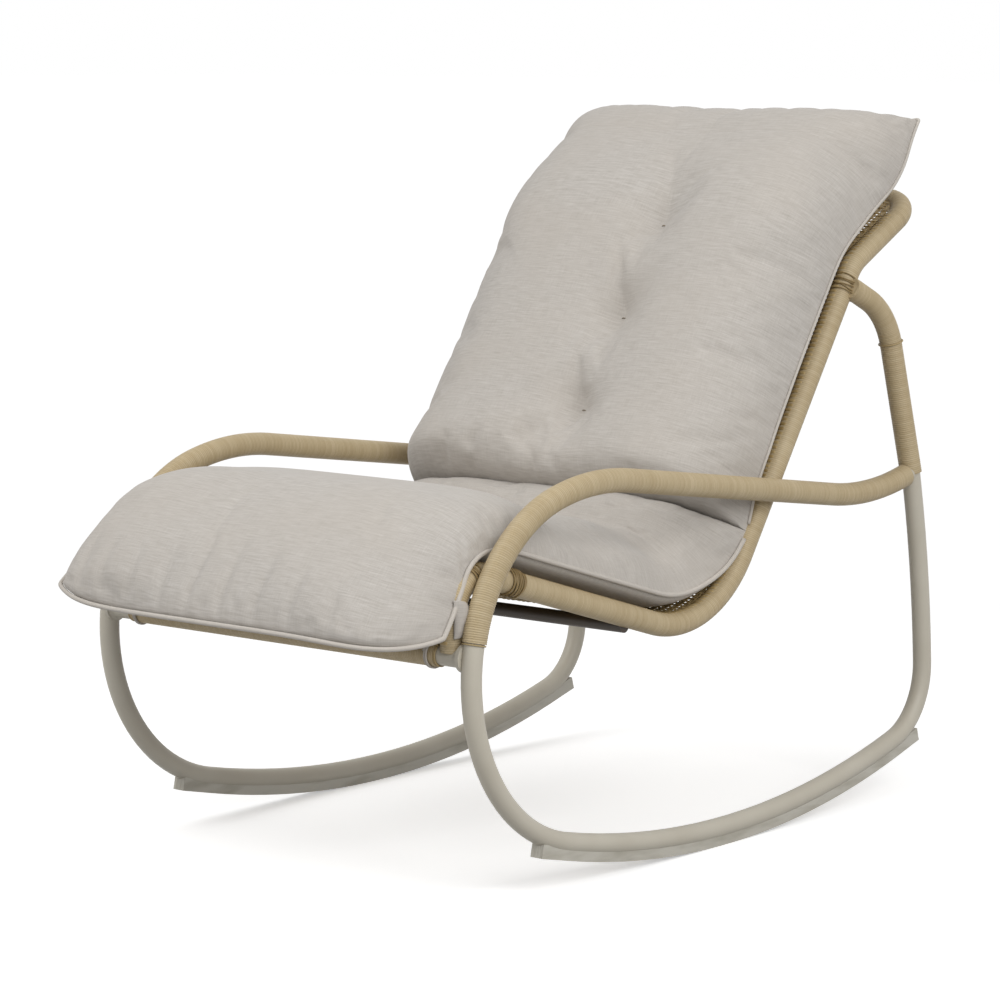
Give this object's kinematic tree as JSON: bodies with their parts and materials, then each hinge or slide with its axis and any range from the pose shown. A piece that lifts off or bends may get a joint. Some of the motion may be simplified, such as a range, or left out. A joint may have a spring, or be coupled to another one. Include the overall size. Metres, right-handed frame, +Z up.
{
  "type": "wicker rocking chair",
  "caption": "Low lounge rocking chair with bent tube side loops, wicker-wound seat and back frame, woven sling and a long tufted pad.",
  "frame": {"origin": "on the floor under the line where the rockers touch it at rest, midway between the two side loops", "axes": "+Z up, +X towards the sitter's left, the chair faces -Y"},
  "size_m": [0.6424, 1.1123, 0.9259],
  "materials": {
    "frame": "satin powder coat",
    "dark_frame": "satin powder coat",
    "wicker": "wound synthetic wicker",
    "strand": "woven synthetic wicker strand",
    "glide": "matte plastic",
    "cushion": "slubbed woven fabric over soft filling",
    "piping": "piping cord covered in the same fabric"
  },
  "bodies": {
    "root": {"left_side_loop": "frame", "right_side_loop": "frame", "left_strut": "frame", "right_strut": "frame", "left_arm_wrap": "wicker", "right_arm_wrap": "wicker", "left_strut_wrap": "wicker", "right_strut_wrap": "wicker", "left_seat_tube": "frame", "right_seat_tube": "frame", "left_seat_wrap": "wicker", "right_seat_wrap": "wicker", "head_rail": "frame", "head_rail_wrap": "wicker", "front_rail": "frame", "front_rail_wrap": "wicker", "rail_welds": "frame", "wrap_end_rings": "strand", "cross_bar": "dark_frame", "left_glide_strip": "glide", "right_glide_strip": "glide", "apron_weave": "strand", "seat_weave": "strand", "back_weave": "strand", "weft_bands": "strand", "seat_panel": "cushion", "back_panel": "cushion", "seat_piping": "piping", "back_piping": "piping"}
  },
  "joints": []
}
